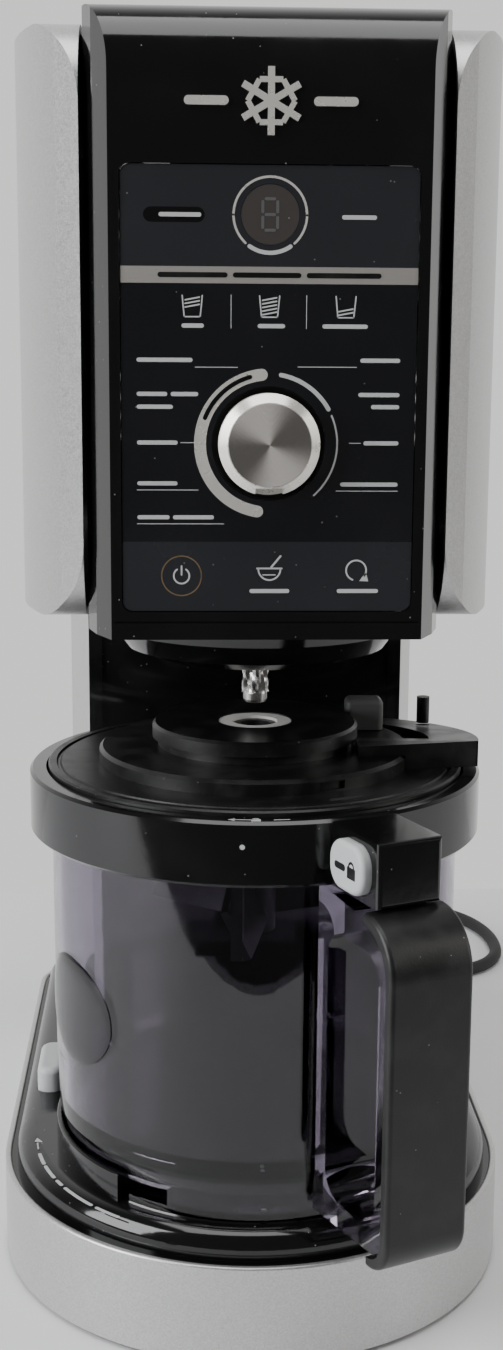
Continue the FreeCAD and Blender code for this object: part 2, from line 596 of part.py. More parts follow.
def make_drive():
    plate = box(-48, 48, -36, 146, PLATE_Z, PLATE_Z + 4)
    plate = rounded(plate, 8, lambda p, e: abs(p.z - PLATE_Z - 2) < 0.1)
    for x in (-ROD_X, ROD_X):
        boss = rod(8.0, PLATE_Z + 4, PLATE_Z + 22, x, ROD_Y)
        plate = plate.fuse(boss).cut(rod(ROD_R + RUN, PLATE_Z - 1, PLATE_Z + 30, x, ROD_Y))
    plate = plate.cut(rod(SCREW_R + 0.4, PLATE_Z - 1, PLATE_Z + 30, 0, SCREW_Y))
    plate = plate.cut(rod(SPINDLE_R + 0.55, PLATE_Z - 1, PLATE_Z + 30))
    add("carriage_plate", plate.removeSplitter())
    add("feed_nut", ring(SCREW_R + 0.4, 9.0, PLATE_Z + 4.05, PLATE_Z + 16, 0, SCREW_Y))

    gear_r = GEAR_TEETH * MODULE / 2
    pinion_r = PINION_TEETH * MODULE / 2
    pinion_y = gear_r + pinion_r
    gear_low, gear_high = PLATE_Z - 12.0, PLATE_Z - 3.0
    tray = rod(gear_r + 4.5, gear_low - 4, PLATE_Z - 0.05).fuse(
        rod(pinion_r + 4.5, gear_low - 4, PLATE_Z - 0.05, 0, pinion_y))
    tray = tray.fuse(box(-20, 20, 20, pinion_y, gear_low - 4, PLATE_Z - 0.05))
    hollow = rod(gear_r + 2.5, gear_low - 1.5, PLATE_Z).fuse(
        rod(pinion_r + 2.5, gear_low - 1.5, PLATE_Z, 0, pinion_y))
    tray = tray.cut(hollow).cut(rod(SPINDLE_R + 0.55, gear_low - 6, PLATE_Z))
    tray = tray.common(box(-45, 45, -60, 120, 300, 360))
    for x in (-ROD_X, ROD_X):
        tray = tray.cut(rod(ROD_R + 1.0, 300, 360, x, ROD_Y))
    add("gear_case", tray)
    add("spindle_gear", gear(GEAR_TEETH, gear_low, gear_high, SPINDLE_R + 0.02, 0, 0, math.pi / 2))
    phase = -math.pi / 2 + math.pi / PINION_TEETH
    add("motor_pinion", gear(PINION_TEETH, gear_low, gear_high, 3.0, 0, pinion_y, phase))
    add("motor_shaft", rod(2.95, gear_low - 1.0, PLATE_Z + 58, 0, pinion_y))
    can = rod(MOTOR_R, PLATE_Z + 4.05, PLATE_Z + 62, 0, pinion_y)
    can = can.cut(rod(3.4, PLATE_Z, PLATE_Z + 59, 0, pinion_y))
    NODES["carriage_plate"] = NODES["carriage_plate"].cut(
        rod(3.4, PLATE_Z - 1, PLATE_Z + 5, 0, pinion_y)).Solids[0]
    add("drive_motor", can)
    bearing_low = PLATE_Z + 4.05
    add("spindle_bearing", ring(SPINDLE_R + RUN, 13.0, bearing_low, bearing_low + 9))

    sections = []
    lobes, flute_low, flute_high = 6, 213.6, 236.0
    steps = 7
    for k in range(steps):
        z = flute_low + (flute_high - flute_low) * k / (steps - 1)
        turn = math.radians(14.0) * k
        pts = []
        for m in range(lobes * 4):
            a = 2 * math.pi * m / (lobes * 4) + turn
            r = SPINDLE_R if m % 4 in (0, 1) else SPINDLE_R - 1.1
            pts.append(V(r * math.cos(a), r * math.sin(a), z))
        sections.append(path(pts))
    fluted = Part.makeLoft(sections, True, True)
    nose = Part.makeCone(3.7, 4.3, 1.0, V(0, 0, SPINDLE_TIP)).fuse(
        rod(4.3, SPINDLE_TIP + 1.0, flute_low + 0.2))
    shaft = rod(SPINDLE_R, flute_high, PLATE_Z + 16).fuse(fluted).fuse(nose)
    add("spindle", shaft.removeSplitter())

    rod_low, rod_high = HEAD_LOW + WALL + 0.05, HEAD_TOP - WALL - 0.05
    add("guide_rods", *[rod(ROD_R, rod_low, rod_high, x, ROD_Y) for x in (-ROD_X, ROD_X)])
    add("lead_screw", rod(SCREW_R, 268, 425, 0, SCREW_Y))
    feed_low = 238.0
    add("feed_motor", box(-21, 21, SCREW_Y - 21, SCREW_Y + 21, feed_low, 267.7))
    add("feed_bracket", box(-53.4, 53.4, SCREW_Y - 26, SCREW_Y + 26, feed_low - 3, feed_low - 0.05))


# ---------------------------------------------------------------- mains lead
CORD_EXIT_X, CORD_EXIT_Z = 62.0, 12.0
RELIEF_END_Y = BASE_BACK_Y + 20.0
ROUTE = [
    (CORD_EXIT_X, RELIEF_END_Y, CORD_EXIT_Z), (CORD_EXIT_X, 238, CORD_EXIT_Z), (67.6, 251.5, 10.5),
    (78, 262, 7.5), (91.5, 267.5, 5.0), (107, 268, CORD_FLOOR), (124, 269, CORD_FLOOR),
    (139, 277, CORD_FLOOR), (149, 292, CORD_FLOOR), (152, 311, CORD_FLOOR),
    (150, 333, CORD_FLOOR), (142, 353, CORD_FLOOR), (128, 369, CORD_FLOOR),
    (109, 378, CORD_FLOOR), (88, 379, CORD_FLOOR), (67, 372, CORD_FLOOR), (47, 360, CORD_FLOOR),
    (27, 350, CORD_FLOOR), (5, 342, CORD_FLOOR), (COIL_X, COIL_Y + COIL_R, CORD_FLOOR),
]
PLUG_X, PLUG_Y, PLUG_Z = -2.0, 222.0, 7.0
TAIL = [
    (COIL_X - COIL_R, COIL_Y, CORD_FLOOR + COIL_TURNS * 2 * CORD_R), (-56, 279, 19.0),
    (-55.5, 258, 11.5), (-47, 238.5, 7.3), (-30, 225.5, PLUG_Z), (PLUG_X + 1, PLUG_Y, PLUG_Z),
]


def cord_tube(points):
    """Straight runs joined by tangent arcs; prints each arc's radius."""
    pts = [V(*p) for p in points]
    edges, radii = [], []
    here = pts[0]
    for a, b, c in zip(pts, pts[1:], pts[2:]):
        u, w = (b - a), (c - b)
        shorter = min(u.Length, w.Length)
        u.normalize()
        w.normalize()
        half = math.acos(max(-1.0, min(1.0, u.dot(w)))) / 2
        reach = 0.45 * shorter
        radii.append(reach / math.tan(half))
        start, end = b - u * reach, b + w * reach
        inward = w - u
        inward.normalize()
        depth = radii[-1] / math.cos(half) - radii[-1]
        edges.append(Part.LineSegment(here, start).toShape())
        edges.append(Part.Arc(start, b + inward * depth, end).toShape())
        here = end
    edges.append(Part.LineSegment(here, pts[-1]).toShape())
    spine = Part.Wire(edges)
    direction = pts[1] - pts[0]
    circle = Part.Wire([Part.makeCircle(CORD_R, pts[0], direction)])
    tube = spine.makePipeShell([circle], True, True)
    print("cord radii", [round(r, 1) for r in radii], "length", round(spine.Length, 1))
    print("cord volume / (section x length)", round(tube.Volume / (math.pi * CORD_R ** 2 * spine.Length), 4))
    return tube


def make_cord():
    start_y = BASE_BACK_Y - 6.0
    relief = Part.makeCone(5.0, CORD_R + 0.6, RELIEF_END_Y - BASE_BACK_Y,
                           V(CORD_EXIT_X, BASE_BACK_Y, CORD_EXIT_Z), V(0, 1, 0))
    relief = relief.fuse(rod_y(5.0, start_y, BASE_BACK_Y, CORD_EXIT_X, CORD_EXIT_Z))
    add("strain_relief", relief.removeSplitter())
    NODES["base_band"] = NODES["base_band"].cut(
        rod_y(5.2, 195, 210, CORD_EXIT_X, CORD_EXIT_Z)).Solids[0]
    add("power_cord", cord_tube(ROUTE), cord_tube(TAIL))
    height = COIL_TURNS * 2 * CORD_R + CORD_FLOOR + CORD_R
    coil = ring(COIL_R - CORD_R, COIL_R + CORD_R, CORD_FLOOR - CORD_R, height, COIL_X, COIL_Y)
    add("cord_coil", coil)
    body = box(PLUG_X, PLUG_X + 28, PLUG_Y - 13, PLUG_Y + 13, 0.2, 2 * PLUG_Z - 0.2)
    body = rounded(body, 4.5, lambda p, e: abs(p.z - PLUG_Z) < 1 and abs(p.y - PLUG_Y) > 12)
    pins = [box(PLUG_X + 27, PLUG_X + 44, PLUG_Y + y - 0.75, PLUG_Y + y + 0.75,
                PLUG_Z - 3.1, PLUG_Z + 3.1) for y in (-6.35, 6.35)]
    plug = body.fuse(pins[0]).fuse(pins[1])
    add("mains_plug", plug.removeSplitter())


# ---------------------------------------------------------------- build
def main():
    make_base()
    make_release_button()
    make_turntable()
    make_bowl()
    make_handle()
    make_lid_button()
    make_lid()
    make_latch()
    make_paddle()
    make_tower()
    make_rear_cover()
    make_head()
    make_cheeks()
    make_control_panel()
    make_drive()
    make_cord()
    os.makedirs("parts", exist_ok=True)
    for name, shape in NODES.items():
        shape.translate(V(0, SPINDLE_Y, 0))
        if not shape.isValid() or shape.Volume <= 0:
            print("not valid:", name, shape.Volume)
        shape.exportStep(os.path.join("parts", name + ".step"))
    whole = Part.makeCompound([s for n, s in NODES.items()])
    print(len(NODES), "nodes", whole.BoundBox)


main()
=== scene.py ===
# %% [markdown]
# # Dressing an ice cream maker
#
# The solid parts of the machine are already built. In this lesson we give them their looks: a lens
# to see them through, a mains lead, paint, plastic, glass and metal, the print on the panel, and a
# quiet corner of a kitchen to stand in. All lengths are in metres, Z is up and the front faces -Y.

# %% Load the parts
import json
import math

import bpy
import numpy as np
from mathutils import Matrix, Vector


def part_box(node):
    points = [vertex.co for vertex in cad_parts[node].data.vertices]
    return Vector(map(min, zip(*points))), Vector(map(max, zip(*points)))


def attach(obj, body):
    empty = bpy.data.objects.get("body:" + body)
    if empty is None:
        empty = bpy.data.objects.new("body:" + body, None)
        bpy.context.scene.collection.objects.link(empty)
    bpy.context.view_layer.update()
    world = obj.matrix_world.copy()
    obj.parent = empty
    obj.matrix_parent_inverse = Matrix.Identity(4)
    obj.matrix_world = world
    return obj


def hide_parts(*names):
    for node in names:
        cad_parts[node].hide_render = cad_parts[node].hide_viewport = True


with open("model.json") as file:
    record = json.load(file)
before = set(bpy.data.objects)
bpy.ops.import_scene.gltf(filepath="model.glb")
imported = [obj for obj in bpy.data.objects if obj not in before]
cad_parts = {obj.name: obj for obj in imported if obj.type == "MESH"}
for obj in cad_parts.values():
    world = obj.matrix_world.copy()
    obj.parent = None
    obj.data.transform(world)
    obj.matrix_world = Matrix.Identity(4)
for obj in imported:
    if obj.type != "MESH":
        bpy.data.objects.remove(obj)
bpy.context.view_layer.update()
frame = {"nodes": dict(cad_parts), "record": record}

# %% [markdown]
# ## The camera
#
# The lens stands level with the middle of the panel, a little to the left, and looks down by eleven
# degrees. `aim` turns pitch, yaw and roll into the three axes of the camera.

# %% Camera
def aim(place, pitch, yaw, roll):
    """World matrix of a camera: forward f = (sin y cos p, cos y cos p, -sin p), level right
    s = (cos y, -sin y, 0), level up t = s x f, then r = cos(a) s + sin(a) t and
    u = cos(a) t - sin(a) s for a roll a. Its columns are r, u, -f and the place."""
    f = Vector((math.sin(yaw) * math.cos(pitch), math.cos(yaw) * math.cos(pitch), -math.sin(pitch)))
    s = Vector((math.cos(yaw), -math.sin(yaw), 0.0))
    t = s.cross(f)
    r = math.cos(roll) * s + math.sin(roll) * t
    u = math.cos(roll) * t - math.sin(roll) * s
    turn = Matrix((r, u, -f)).transposed().to_4x4()
    return Matrix.Translation(place) @ turn


camera = bpy.data.objects.new("camera", bpy.data.cameras.new("camera"))
bpy.context.scene.collection.objects.link(camera)
bpy.context.scene.camera = camera
camera.data.sensor_fit, camera.data.sensor_height, camera.data.lens = "VERTICAL", 36.0, 44.74
camera.matrix_world = aim((-0.0283, -0.6275, 0.3335), *np.radians((11.003, 2.639, 0.369)))
print("camera at", [round(v, 4) for v in camera.location])

# %% [markdown]
# ## The mains lead
#
# The lead leaves the back of the base, sweeps round on the worktop, winds into a loose coil and ends
# in its plug. Corner points say where it goes, and a NURBS spline rounds them into one smooth line.
# The coil climbs by one thickness of the lead per turn, so each turn lies on the one before it.

# %% The route of the lead
MM = 0.001
AXIS_Y = -0.042                       # the bowl's centre line
CORD_D = 0.0066
# Corner points in millimetres, measured from the bowl's centre line.
OUT = [(62, 223, 12), (62, 238, 12), (67.6, 251.5, 10.5), (78, 262, 7.5), (91.5, 267.5, 5),
       (107, 268, 3.5), (124, 269, 3.5), (139, 277, 3.5), (149, 292, 3.5), (152, 311, 3.5),
       (150, 333, 3.5), (142, 353, 3.5), (128, 369, 3.5), (109, 378, 3.5), (88, 379, 3.5),
       (67, 372, 3.5), (47, 360, 3.5), (27, 350, 3.5), (5, 342, 3.5)]
BACK = [(-56, 279, 19), (-55.5, 258, 11.5), (-47, 238.5, 7.3), (-30, 225.5, 7), (-1, 222, 7)]


def coil_points(x, y, z, radius, turns, per_turn=16):
    """Points of a climbing coil that starts at its back: (x + R cos t, y + R sin t, z + D n),
    with t from a quarter turn on, D the lead's thickness and n the turns made so far."""
    n = np.linspace(0, turns, int(turns * per_turn) + 1)
    t = math.pi / 2 + 2 * math.pi * n
    climb = z + CORD_D / MM * n
    return np.stack([x + radius * np.cos(t), y + radius * np.sin(t), climb], axis=1)


route = np.vstack([OUT, coil_points(-18, 300, 3.5, 38, turns=2.25), BACK]) / 1000 + (0, AXIS_Y, 0)
print("route points:", len(route), "ends at", route[-1].round(4).tolist())


# %% The lead itself
def nurbs(name, points, radius):
    """A round cord along an order-3 NURBS spline with these control points. Its thickness is
    bevel depth 1 times the points' own radius, which also keeps its bounding box tight."""
    curve = bpy.data.curves.new(name, "CURVE")
    curve.dimensions, curve.bevel_depth, curve.bevel_resolution = "3D", 1.0, 5
    curve.resolution_u, curve.use_fill_caps = 8, True
    spline = curve.splines.new("NURBS")
    spline.points.add(len(points) - 1)
    spline.points.foreach_set("co", np.column_stack([points, np.ones(len(points))]).ravel())
    spline.points.foreach_set("radius", np.full(len(points), radius))
    spline.order_u, spline.use_endpoint_u = 3, True
    obj = bpy.data.objects.new(name, curve)
    bpy.context.scene.collection.objects.link(obj)
    return obj


def line_length(obj):
    """Length of a curve: the sum of |p(i+1) - p(i)| along it without its thickness."""
    bare = obj.data.copy()
    bare.bevel_depth = 0.0
    probe = bpy.data.objects.new("probe", bare)
    mesh = bpy.data.meshes.new_from_object(probe)
    co = np.empty(len(mesh.vertices) * 3)
    mesh.vertices.foreach_get("co", co)
    bpy.data.objects.remove(probe)
    return float(np.linalg.norm(np.diff(co.reshape(-1, 3), axis=0), axis=1).sum())


lead = nurbs("mains_lead", route, CORD_D / 2)
LEAD_LENGTH = round(line_length(lead), 3)
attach(lead, "base")
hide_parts("power_cord", "cord_coil")
print("lead length:", LEAD_LENGTH, "m")

# %% [markdown]
# ## Writing materials as sums
#
# Every finish below is a small recipe of noise and arithmetic. `Val` wraps one output of a shader
# node, so that `a * 3 + b` builds the nodes for us. `Finish` holds a material and its one generic
# `node` method: which node, how it is set, and what goes into it.

# %% Arithmetic on sockets
class Val:
    """A number or colour flowing out of a node."""

    def __init__(self, finish, socket):
        self.finish, self.socket = finish, socket

    def math(self, operation, a, b=0.0):
        return self.finish.node("Math", {"operation": operation}, {0: a, 1: b})

    def __add__(self, other): return self.math("ADD", self, other)
    def __radd__(self, other): return self.math("ADD", other, self)
    def __mul__(self, other): return self.math("MULTIPLY", self, other)
    def __rmul__(self, other): return self.math("MULTIPLY", other, self)
    def __gt__(self, other): return self.math("GREATER_THAN", self, other)
    def __lt__(self, other): return self.math("LESS_THAN", self, other)
    def __pow__(self, other): return self.math("POWER", self, other)


# %% One material
def socket_name(key):
    """The shader's own name of an input: coat_weight is its "Coat Weight"."""
    return key.replace("_", " ").title().replace("Ior", "IOR")


class Finish:
    """A Principled material and the nodes that feed it."""

    def __init__(self, name, **constants):
        self.material = bpy.data.materials.new(name)
        self.material.use_nodes = True
        self.tree = self.material.node_tree
        self.shader = self.tree.nodes["Principled BSDF"]
        for key, value in constants.items():
            self.shader.inputs[socket_name(key)].default_value = value
        self.place = self.node("TexCoord", {}, {}, "Object")

    def node(self, kind, settings, inputs, out=0):
        """A new node of a kind: its settings first, then its inputs, then one output as a Val."""
        made = self.tree.nodes.new("ShaderNode" + kind)
        for key, value in settings.items():
            setattr(made, key, value)
        for key, value in inputs.items():
            self.feed(made.inputs[key], value)
        return Val(self, made.outputs[out])

    def feed(self, socket, value):
        """Links a Val to a socket, or sets the socket to a plain value."""
        if isinstance(value, Val):
            self.tree.links.new(value.socket, socket)
        else:
            socket.default_value = value

    def noise(self, scale, detail=3.0, stretch=(1, 1, 1)):
        """Noise from 0 to 1 at scale waves per metre, stretched along each axis."""
        moved = self.node("Mapping", {}, {"Vector": self.place, "Scale": stretch})
        return self.node("TexNoise", {}, {"Vector": moved, "Scale": scale, "Detail": detail})

    def clamp(self, value, low, high, to_low=0.0, to_high=1.0):
        """Smooth step of a value from low..high onto to_low..to_high."""
        return self.node("MapRange", {"interpolation_type": "SMOOTHSTEP"},
                         {"Value": value, "From Min": low, "From Max": high,
                          "To Min": to_low, "To Max": to_high})

    def mix(self, amount, a, b):
        """Colour a where amount is 0, colour b where it is 1."""
        return self.node("Mix", {"data_type": "RGBA"}, {0: amount, 6: a, 7: b}, 2)

    def bump(self, height, distance, strength):
        """Lets a height of 0 to 1 stand out by distance metres."""
        normal = self.node("Bump", {}, {"Height": height, "Distance": distance, "Strength": strength})
        self.feed(self.shader.inputs["Normal"], normal)

    def paint(self, **inputs):
        """Feeds the shader's inputs and returns the material."""
        for key, value in inputs.items():
            self.feed(self.shader.inputs[socket_name(key)], value)
        return self.material


def grey(v, tint=(1.0, 1.0, 1.0)):
    """An RGBA colour of brightness v, leaning towards a tint."""
    return (v * tint[0], v * tint[1], v * tint[2], 1.0)


# %% [markdown]
# ## Plastics
#
# Gloss black shows soft smears and a few grains of dust. Satin black has a fine moulded grain, which
# a tiny bump draws. Both start from noise at two sizes: broad for smears and fine for grain.

# %% Plastic recipes
def random_cells(f, per_metre):
    """Cells of a random value each, and the distance to each cell's middle."""
    inputs = {"Vector": f.place, "Scale": per_metre}
    colour = f.node("TexVoronoi", {}, inputs, "Color")
    return (f.node("SeparateColor", {}, {"Color": colour}, 0),
            f.node("TexVoronoi", {}, inputs, "Distance"))


def dust(f, amount):
    """Grains: a dot in the middle of each cell whose random value is above 1 - amount."""
    chance, distance = random_cells(f, 900.0)
    return (chance > 1.0 - amount) * (distance < 0.22)


def gloss_plastic(name, colour, rough=0.1, specks=0.012):
    f = Finish(name, coat_weight=0.15, coat_roughness=0.06)
    smear = f.clamp(f.noise(28.0, 5.0), 0.45, 0.75)
    grains = dust(f, specks)
    f.bump(f.noise(260.0, 2.0), 0.00003, 0.5)
    return f.paint(base_color=f.mix(grains * 0.5 + smear * 0.006, colour, grey(0.32)),
                   roughness=rough + smear * 0.10 + grains * 0.4)


def satin_plastic(name, colour, rough=0.42, grain=1500.0, specks=0.006):
    f = Finish(name, specular_ior_level=0.4)
    worn = f.clamp(f.noise(90.0, 4.0), 0.4, 0.75)
    grains = dust(f, specks)
    f.bump(f.noise(grain, 2.0), 0.00006, 0.6)
    return f.paint(base_color=f.mix(worn * 0.02 + grains * 0.35, colour, grey(0.42)),
                   roughness=rough + worn * 0.1)


FINISHES = {
    "black_gloss": gloss_plastic("black gloss", grey(0.004, (1, 1, 1.08))),
    "black_satin": satin_plastic("black satin", grey(0.005), 0.34),
    "latch_grey": satin_plastic("latch grey", grey(0.10), 0.4),
    "grey_key": satin_plastic("grey key", grey(0.52, (0.98, 1, 1.0)), 0.45, specks=0.0),
    "white_nylon": satin_plastic("white nylon", grey(0.74, (1, 0.99, 0.95)), 0.5, specks=0.0),
    "paddle_black": satin_plastic("paddle black", grey(0.01, (1, 1, 1.1)), 0.34),
    "rubber": satin_plastic("rubber", grey(0.016), 0.62, 900.0),
}
print("plastics:", sorted(FINISHES))

# %% [markdown]
# ## Metals
#
# Silver paint is metal flakes under lacquer, so each tiny cell gets its own brightness. Brushed
# metal is noise stretched far along one axis. The dial's face is spun: its fine grooves are circles
# round the dial's centre, a wave of the distance from it, and painted highlight wedges lighten its
# colour.

# %% Metal recipes
def flake_paint(name, colour):
    f = Finish(name, metallic=0.78, coat_weight=0.2, coat_roughness=0.25)
    sparkle, _ = random_cells(f, 2600.0)
    cloud = f.noise(20.0, 3.0)
    f.bump(f.noise(1800.0, 1.0), 0.00003, 0.5)
    return f.paint(base_color=f.mix(sparkle * 0.34 + cloud * 0.06, colour, grey(0.86)),
                   roughness=0.32 + sparkle * 0.12)


def brushed(name, colour, along=(1, 30, 30), rough=0.28, metallic=1.0, streak=0.5):
    f = Finish(name, metallic=metallic)
    lines = f.noise(160.0, 4.0, along)
    f.bump(lines, 0.00003, 0.6)
    return f.paint(base_color=f.mix(lines * streak, colour, grey(0.34)), roughness=rough + lines * 0.16)


DIAL_V, DISPLAY_V = 305.2, 372.4      # heights of the dial and the display, in millimetres


def spun(name, colour, centre, pitch):
    """Grooves sin(2 pi r / pitch) with r = sqrt(dx^2 + dz^2) from the dial's centre, and two
    pairs of painted highlight wedges cos(2 a) in the base colour, a the angle round the centre,
    standing in for the light that such grooves catch."""
    f = Finish(name, metallic=0.6)
    at = f.node("Mapping", {}, {"Vector": f.place, "Location": tuple(-c for c in centre)})
    axes = f.node("SeparateXYZ", {}, {"Vector": at}, "X")
    z = Val(f, axes.socket.node.outputs["Z"])
    r = (axes * axes + z * z) ** 0.5
    groove = f.node("Math", {"operation": "SINE"}, {0: r * (2 * math.pi / pitch)})
    angle = f.node("Math", {"operation": "ARCTAN2"}, {0: z, 1: axes})
    painted_highlight_wedge = f.node("Math", {"operation": "COSINE"}, {0: angle * 2.0 + 2.3})
    f.bump(groove, 0.00005, 0.35)
    # painted highlight: the wedges lighten the base colour where the spun grooves would catch the light
    light = f.clamp(painted_highlight_wedge + f.noise(2400.0, 2.0) * 0.5, -0.6, 1.3)
    return f.paint(base_color=f.mix(light, colour, grey(0.88, (1, 0.94, 0.88))),
                   roughness=0.24 + groove * 0.04)


FINISHES.update({
    "silver": flake_paint("silver paint", grey(0.47, (1, 0.995, 0.98))),
    "stripe": brushed("champagne stripe", grey(0.62, (1, 0.94, 0.86)), (1, 40, 40), 0.34, 0.7),
    "bright_metal": brushed("bright metal", grey(0.92, (1, 0.97, 0.9)), (1, 1, 1), 0.2, 0.55, 0.12),
    "spun_metal": spun("spun metal", grey(0.20, (1, 0.93, 0.86)), (0, 0, DIAL_V * MM), 0.00034),
    "steel": brushed("steel", grey(0.66, (1, 0.98, 0.95)), (25, 25, 1), 0.2),
    "plate_metal": brushed("plate metal", grey(0.55), (1, 25, 25), 0.35),
    "bronze": brushed("bronze", (0.55, 0.36, 0.18, 1), (10, 10, 10), 0.35),
    "motor_can": flake_paint("motor can", grey(0.14)),
})
print("finishes so far:", sorted(FINISHES))

# %% [markdown]
# ## Glass, panel and circuit board
#
# The bowl lets light through and stains it a smoky violet. The panel is one dark sheet, a shade
# lighter in its lowest strip of touch keys and above its stripe. Height above the worktop says where.

# %% Clear and printed recipes
def smoke(name, colour):
    f = Finish(name, transmission_weight=1.0, ior=1.49)
    haze = f.clamp(f.noise(45.0, 4.0, (1, 1, 0.4)), 0.5, 0.8)
    f.bump(f.noise(70.0, 2.0), 0.00008, 0.35)
    return f.paint(base_color=f.mix(haze * 0.25, colour, grey(0.8)), roughness=0.02 + haze * 0.07)


def panel_sheet(name):
    f = Finish(name, coat_weight=0.15, coat_roughness=0.08)
    height = f.node("SeparateXYZ", {}, {"Vector": f.place}, "Z")
    pale = (height < 0.2754) + (height > 0.355)
    smear = f.clamp(f.noise(24.0, 5.0), 0.42, 0.8)
    grains = dust(f, 0.01)
    f.bump(f.noise(800.0, 2.0), 0.00002, 0.5)
    dark = f.mix(pale, grey(0.008, (0.95, 1, 1.2)), grey(0.022, (0.96, 1, 1.15)))
    return f.paint(base_color=f.mix(grains * 0.4 + smear * 0.006, dark, grey(0.35)),
                   roughness=0.2 + smear * 0.14)


def board_lacquer(name):
    f = Finish(name, coat_weight=0.4)
    tracks = f.node("TexBrick", {}, {"Vector": f.place, "Scale": 180.0}, "Fac")
    return f.paint(base_color=f.mix(tracks, (0.02, 0.13, 0.05, 1), (0.10, 0.30, 0.12, 1)),
                   roughness=0.3 + f.noise(90.0) * 0.2)


FINISHES.update({
    "clear_smoke": smoke("smoky clear", grey(0.46, (1.0, 0.92, 1.1))),
    "panel": panel_sheet("panel sheet"),
    "display": gloss_plastic("display glass", grey(0.05, (1.1, 0.98, 0.92)), 0.12, 0.002),
    "board": board_lacquer("board lacquer"),
})

# %% Put each finish on its parts
for part in frame["record"]["subparts"]:
    mesh = frame["nodes"][part["node"]].data
    mesh.materials.clear()
    mesh.materials.append(FINISHES[part["material_slot"]])
frame["nodes"]["handle_frame"].data.materials[0] = smoke("smoky handle", grey(0.16, (1.0, 0.86, 1.16)))
lead.data.materials.append(FINISHES["rubber"])

# %% [markdown]
# ## Drawing print with a pen
#
# All marks are pen strokes: a line of points with a width and round ends. A short straight stroke
# is a plain bar that stands for a word, a bent one is an arc of a ring. `flat` places a flat drawing
# in space from an origin and two directions, and `printed` gives it a hair of thickness.

# %% The pen
def stroke(points, width):
    """Outline of a pen line: p + w n / 2 on one side and p - w n / 2 on the other, n the unit
    normal, closed by half circles of radius w / 2 at both ends."""
    p = np.asarray(points, float)
    along = np.gradient(p, axis=0)
    along /= np.linalg.norm(along, axis=1)[:, None]
    normal = np.stack([-along[:, 1], along[:, 0]], axis=1)
    t = np.linspace(0, math.pi, 9)[1:-1, None]
    tip = p[-1] + width / 2 * (np.cos(t) * normal[-1] + np.sin(t) * along[-1])
    tail = p[0] - width / 2 * (np.cos(t) * normal[0] + np.sin(t) * along[0])
    return np.vstack([p + width / 2 * normal, tip, (p - width / 2 * normal)[::-1], tail])


def bar(u0, u1, v, height=1.25):
    return stroke([(u0 + height / 2, v), (u1 - height / 2, v)], height)


def rule(u0, u1, v):
    return stroke([(u0, v), (u1, v)], 0.22)


def arc(u, v, radius, start, end, width, count=33):
    """Arc (u + R cos t, v + R sin t) from start to end degrees."""
    t = np.radians(np.linspace(start, end, count))
    return stroke(np.stack([u + radius * np.cos(t), v + radius * np.sin(t)], axis=1), width)


def loop(u, v, radius, width):
    return [arc(u, v, radius, 0, 180, width), arc(u, v, radius, 180, 360, width)]


def dot(u, v, radius):
    t = np.linspace(0, 2 * math.pi, 25)[:-1]
    return np.stack([u + radius * np.cos(t), v + radius * np.sin(t)], axis=1)


# %% From drawing to mesh
def mesh_object(name, verts, faces, slot, body):
    mesh = bpy.data.meshes.new(name)
    mesh.from_pydata(np.asarray(verts).tolist(), [], faces)
    mesh.materials.append(FINISHES[slot])
    obj = bpy.data.objects.new(name, mesh)
    bpy.context.scene.collection.objects.link(obj)
    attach(obj, body)
    return obj


def printed(name, outlines, place, slot, body, thick=0.00006):
    """A sheet of print: each outline becomes a prism between place(u, v, 0) and
    place(u, v, thick), with its top, its bottom and a wall of quads between them."""
    verts, faces, start = [], [], 0
    for line in outlines:
        line = np.asarray(line)
        n = len(line)
        ring = np.arange(n)
        turn = np.sum(line[:, 0] * np.roll(line[:, 1], -1) - line[:, 1] * np.roll(line[:, 0], -1))
        ring = ring if turn > 0 else ring[::-1]
        verts += [place(line, 0.0), place(line, thick)]
        faces.append((start + n + ring).tolist())
        faces.append((start + ring[::-1]).tolist())
        walls = np.stack([ring, np.roll(ring, -1), np.roll(ring, -1) + n, ring + n], axis=1)
        faces += (start + walls).tolist()
        start += 2 * n
    obj = mesh_object(name, np.vstack(verts), faces, slot, body)
    print(name, "outlines:", len(outlines), "faces:", len(faces))
    return obj


def flat(origin, right, up):
    """Place (u, v) in millimetres at origin + u right + v up, raised by h along right x up."""
    o, r, s = (np.array(x, float) for x in (origin, right, up))
    out = np.cross(r, s)
    return lambda line, h: o + line[:, :1] / 1000 * r + line[:, 1:2] / 1000 * s + h * out


def round_wall(radius):
    """Place (degrees, mm height) on a wall of that radius round the bowl's centre line."""
    def place(line, h):
        a = np.radians(line[:, 0])
        r = radius + h
        return np.stack([r * np.cos(a), AXIS_Y + r * np.sin(a), line[:, 1] / 1000], axis=1)
    return place


# %% [markdown]
# ## The control panel
#
# Positions on the panel are in millimetres: u to the right of its centre line and v above the
# worktop. Plain bars stand for the words, in rows to the left and right of the dial.

# %% Words, rules and icons in light print
ROWS = [(-39.8, -23.0, 330.1), (-39.8, -30.6, 320), (-29.6, -21.3, 320), (-39.8, -28.9, 316.2),
        (-39.8, -27.5, 305.5), (-39.8, -27.6, 293.2), (-39.8, -30.0, 282.9), (-29.0, -16.5, 282.9),
        (27.5, 39.6, 330.2), (27.1, 39.6, 320), (31.0, 39.6, 316.4), (28.9, 39.6, 305.5),
        (22.0, 39.6, 293.0), (21.3, 31.7, 371.9), (-33.0, -20.4, 372.3), (-26.3, -19.6, 340.2),
        (-3.5, 4.7, 340.2), (15.9, 29.6, 340.2), (-5.5, 6.8, 260.2), (21.5, 34.3, 260.2)]
RULES = [(-22.2, -9.5, 328), (-26.6, -22.6, 305.5), (-39.8, -21.3, 291.2), (-39.8, -13.5, 280.9),
         (8.7, 26.4, 328.2), (24.6, 28.0, 305.5), (20.8, 39.6, 291.0)]
light = [bar(*row) for row in ROWS] + [rule(*row) for row in RULES]
